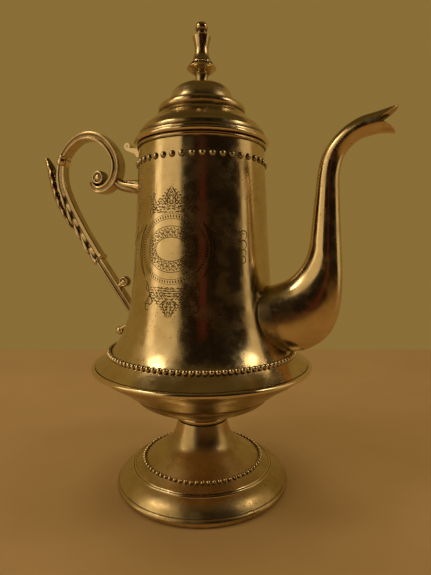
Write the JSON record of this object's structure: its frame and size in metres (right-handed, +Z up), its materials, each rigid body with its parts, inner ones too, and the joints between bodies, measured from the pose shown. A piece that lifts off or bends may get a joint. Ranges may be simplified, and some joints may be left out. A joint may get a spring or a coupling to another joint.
{
  "type": "pedestal coffee pot",
  "caption": "Tall metal coffee pot on a pedestal foot, with a hinged domed lid and finial, an S-shaped spout, a scrolled leaf handle and rows of beading.",
  "frame": {"origin": "centre of the foot's resting ring, on the table", "axes": "+Z up along the pot's axis; +X towards the spout, away from the handle; +Y to the left of the spout, looking along +X"},
  "size_m": [0.2399, 0.1396, 0.2891],
  "materials": {
    "sheet_plate": "polished, slightly tarnished plate on spun sheet",
    "bright_trim": "bright beading and edges",
    "cast_plate": "cast and chased, dark in the hollows",
    "turned_plate": "turned and polished",
    "pin_steel": "plain"
  },
  "bodies": {
    "pot": {"foot_shell": "sheet_plate", "foot_rim": "sheet_plate", "foot_step_ring": "bright_trim", "foot_beading": "bright_trim", "stem_collar": "sheet_plate", "lower_bowl": "sheet_plate", "flange_rim": "bright_trim", "body_shell": "sheet_plate", "skirt_beading": "bright_trim", "shoulder_beading": "bright_trim", "mouth_band": "bright_trim", "spout": "sheet_plate", "handle_scroll": "cast_plate", "handle_eye": "bright_trim", "handle_arm": "cast_plate", "handle_band": "bright_trim", "handle_shaft": "cast_plate", "handle_leaf": "bright_trim", "handle_lower_bar": "cast_plate", "handle_lower_scroll": "bright_trim", "handle_tail": "bright_trim", "handle_lower_pad": "cast_plate", "hinge_body_leaf": "cast_plate", "hinge_pin": "pin_steel"},
    "lid": {"lid_shell": "sheet_plate", "lid_rim": "bright_trim", "lid_bezel": "sheet_plate", "hinge_lid_leaf": "cast_plate", "finial_base": "turned_plate", "finial_beading": "bright_trim", "finial_column": "turned_plate", "finial_tip": "turned_plate", "finial_screw": "pin_steel", "finial_washer": "pin_steel", "finial_nut": "pin_steel"}
  },
  "joints": [
    {"name": "lid_hinge", "type": "hinge", "parent": "pot", "child": "lid", "pos_m": [-0.0522, 0, 0.219], "axis": [0, -1, 0], "range_deg": [0, 105]}
  ]
}
